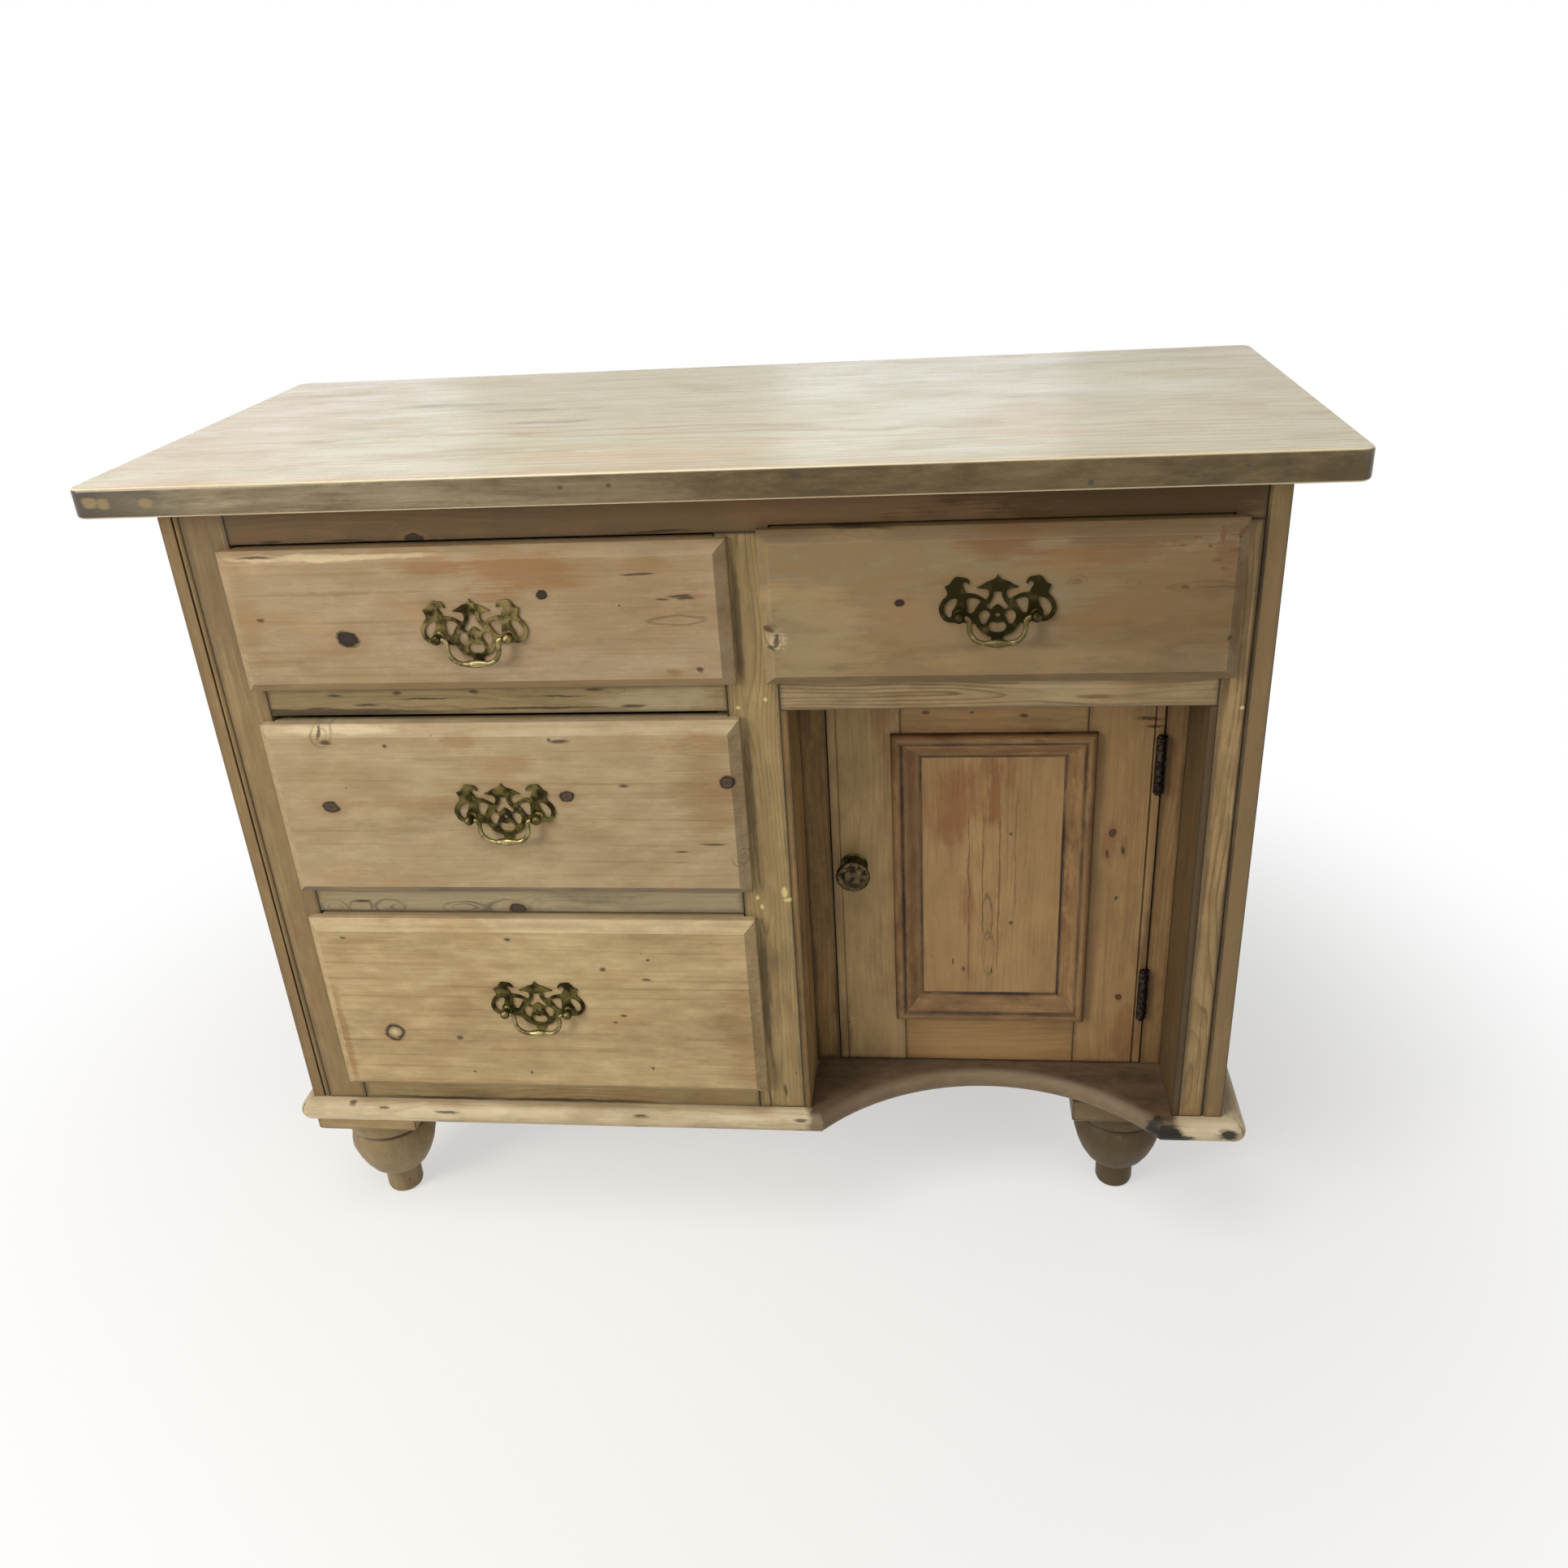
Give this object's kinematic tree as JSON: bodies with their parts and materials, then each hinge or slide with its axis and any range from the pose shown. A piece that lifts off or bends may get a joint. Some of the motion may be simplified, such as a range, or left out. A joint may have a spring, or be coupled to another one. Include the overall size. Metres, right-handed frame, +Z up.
{
  "type": "pine washstand",
  "caption": "Pine washstand with a bank of drawers beside a recessed cupboard under one more drawer, on an arched base board and turned feet, with pierced brass handles.",
  "frame": {"origin": "middle of the bounding box on the floor, under the feet's pegs", "axes": "+X along the front to the viewer's right, +Y from the front to the back, +Z up"},
  "size_m": [1.071, 0.4828, 0.856],
  "materials": {
    "pine": "old pine, waxed",
    "pine_top": "old pine, waxed and rubbed, with a soft sheen",
    "pine_inner": "old pine, dark and dry",
    "brass": "cast brass, browned with age",
    "iron": "dark iron, worn smooth"
  },
  "bodies": {
    "carcass": {"top_board": "pine_top", "side_left": "pine", "side_right": "pine", "stile_left": "pine", "stile_middle": "pine", "stile_right": "pine", "top_rail": "pine", "drawer_rails": "pine", "cupboard_rail": "pine", "partition": "pine_inner", "cheek_left": "pine_inner", "cheek_right": "pine_inner", "jamb_strip": "pine_inner", "hinge_stile": "pine_inner", "recess_soffit": "pine_inner", "bottom_boards": "pine_inner", "door_stop": "pine_inner", "base_front": "pine", "base_returns": "pine", "base_back": "pine_inner", "foot_blocks": "pine", "feet": "pine", "back_boards": "pine_inner", "drawer_runners": "pine_inner", "hinge_fixed_leaves": "iron", "hinge_pins": "iron"},
    "door": {"door_stile_left": "pine", "door_stile_right": "pine", "door_rail_top": "pine", "door_rail_bottom": "pine", "door_panel": "pine", "door_moulding": "pine", "door_hinge_leaves": "iron", "knob_rose": "brass"},
    "door_turn": {"door_knob": "iron", "turn_tongue": "iron"},
    "drawer_low": {"drawer_low_front": "pine", "drawer_low_box": "pine_inner", "drawer_low_bottom": "pine_inner", "drawer_low_plate": "brass", "drawer_low_posts": "brass"},
    "bail_low": {"drawer_low_bail": "brass"},
    "drawer_mid": {"drawer_mid_front": "pine", "drawer_mid_box": "pine_inner", "drawer_mid_bottom": "pine_inner", "drawer_mid_plate": "brass", "drawer_mid_posts": "brass"},
    "bail_mid": {"drawer_mid_bail": "brass"},
    "drawer_top": {"drawer_top_front": "pine", "drawer_top_box": "pine_inner", "drawer_top_bottom": "pine_inner", "drawer_top_plate": "brass", "drawer_top_posts": "brass"},
    "bail_top": {"drawer_top_bail": "brass"},
    "drawer_right": {"drawer_right_front": "pine", "drawer_right_box": "pine_inner", "drawer_right_bottom": "pine_inner", "drawer_right_plate": "brass", "drawer_right_posts": "brass"},
    "bail_right": {"drawer_right_bail": "brass"}
  },
  "joints": [
    {"name": "drawer_low_slide", "type": "slide", "parent": "carcass", "child": "drawer_low", "axis": [0, -1, 0], "range_m": [0, 0.3]},
    {"name": "bail_low_swing", "type": "hinge", "parent": "drawer_low", "child": "bail_low", "pos_m": [-0.20075, -0.23685, 0.313], "axis": [-1, 0, 0], "range_deg": [0, 170]},
    {"name": "drawer_mid_slide", "type": "slide", "parent": "carcass", "child": "drawer_mid", "axis": [0, -1, 0], "range_m": [0, 0.3]},
    {"name": "bail_mid_swing", "type": "hinge", "parent": "drawer_mid", "child": "bail_mid", "pos_m": [-0.20075, -0.23685, 0.535], "axis": [-1, 0, 0], "range_deg": [0, 170]},
    {"name": "drawer_top_slide", "type": "slide", "parent": "carcass", "child": "drawer_top", "axis": [0, -1, 0], "range_m": [0, 0.3]},
    {"name": "bail_top_swing", "type": "hinge", "parent": "drawer_top", "child": "bail_top", "pos_m": [-0.20075, -0.23685, 0.714], "axis": [-1, 0, 0], "range_deg": [0, 170]},
    {"name": "drawer_right_slide", "type": "slide", "parent": "carcass", "child": "drawer_right", "axis": [0, -1, 0], "range_m": [0, 0.3]},
    {"name": "bail_right_swing", "type": "hinge", "parent": "drawer_right", "child": "bail_right", "pos_m": [0.2513, -0.23685, 0.725], "axis": [-1, 0, 0], "range_deg": [0, 170]},
    {"name": "door_hinge", "type": "hinge", "parent": "carcass", "child": "door", "pos_m": [0.4095, -0.13125, 0.403], "axis": [0, 0, 1], "range_deg": [0, 100]},
    {"name": "door_turn_spin", "type": "hinge", "parent": "door", "child": "door_turn", "pos_m": [0.1165, -0.12655, 0.423], "axis": [0, -1, 0], "range_deg": [0, 90]}
  ]
}
